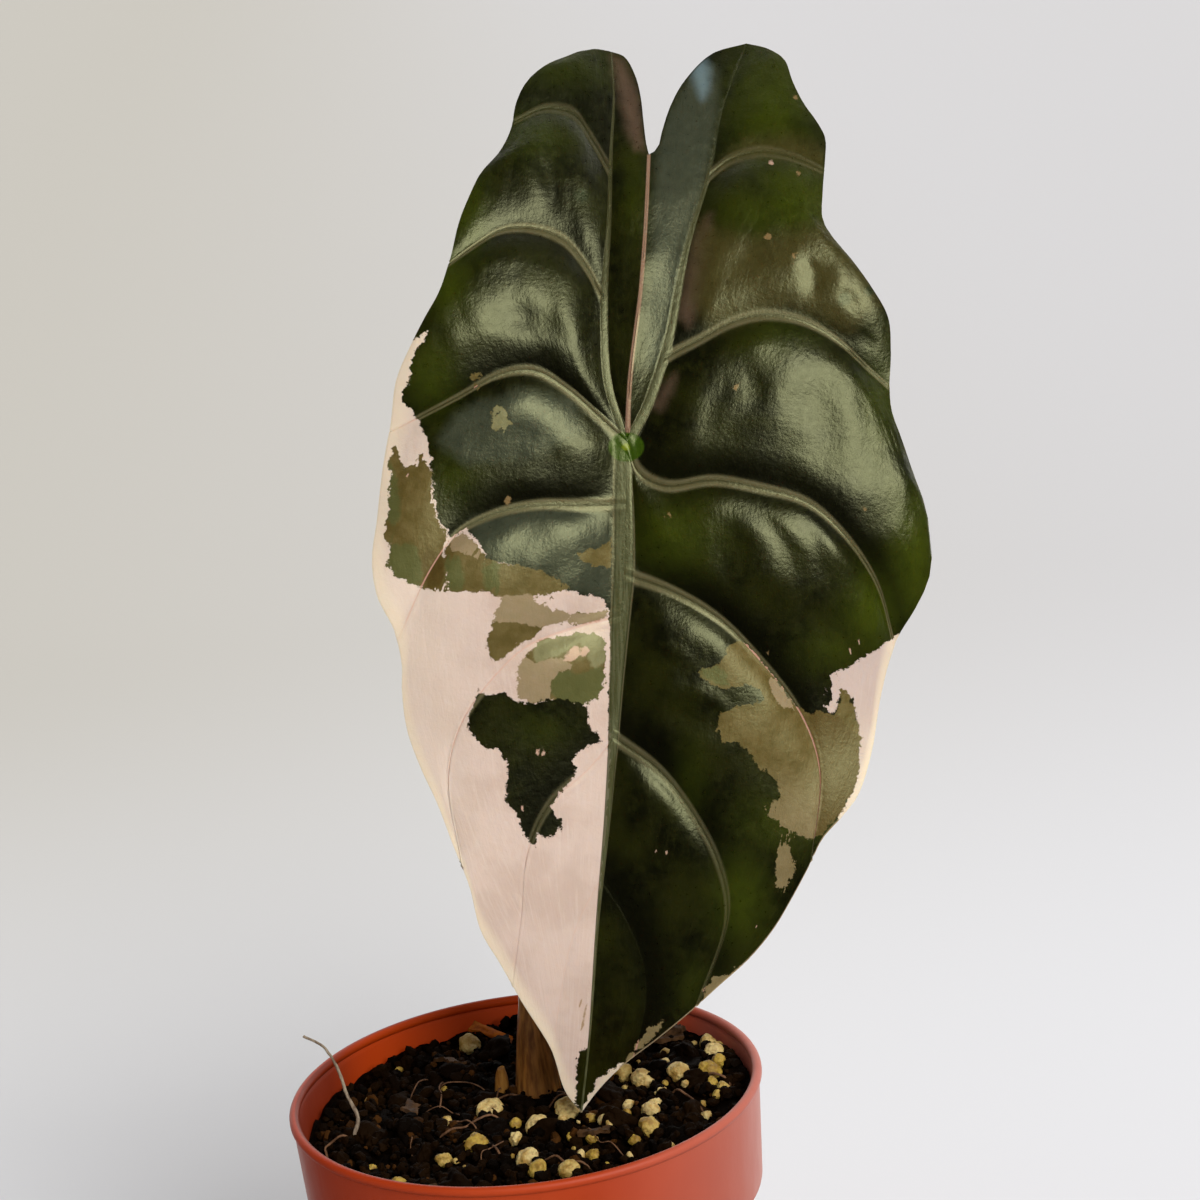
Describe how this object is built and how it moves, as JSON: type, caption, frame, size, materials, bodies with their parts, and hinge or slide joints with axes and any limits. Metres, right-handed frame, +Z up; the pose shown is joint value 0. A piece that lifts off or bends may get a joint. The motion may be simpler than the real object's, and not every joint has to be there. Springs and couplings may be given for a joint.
{
  "type": "potted alocasia chantrieri",
  "caption": "Young variegated alocasia in a small plastic nursery pot: one arrow-shaped quilted leaf on a stalk that stands in gritty soil.",
  "frame": {"origin": "centre of the pot's flat underside", "axes": "+Z up out of the pot, -Y towards the side that the leaf faces, +X to the right seen from there"},
  "size_m": [0.1304, 0.1142, 0.2644],
  "materials": {
    "pot": "thin moulded plastic in terracotta orange, satin, with faint scuffs",
    "soil": "moist dark potting mix with pale mineral grains and bark",
    "petiole": "smooth living stalk, brown with paler streaks, slightly translucent",
    "old_stalk_stub": "dry, fibrous, yellow-tan over orange-brown",
    "dry_root": "dry, wiry, grey-tan",
    "leaf_blade": "waxy satin leaf, dark green with pale pink and khaki patches"
  },
  "bodies": {
    "root": {"pot": "pot", "soil": "soil", "petiole": "petiole", "old_stalk_stub": "old_stalk_stub", "dry_root": "dry_root", "leaf_blade": "leaf_blade"}
  },
  "joints": []
}
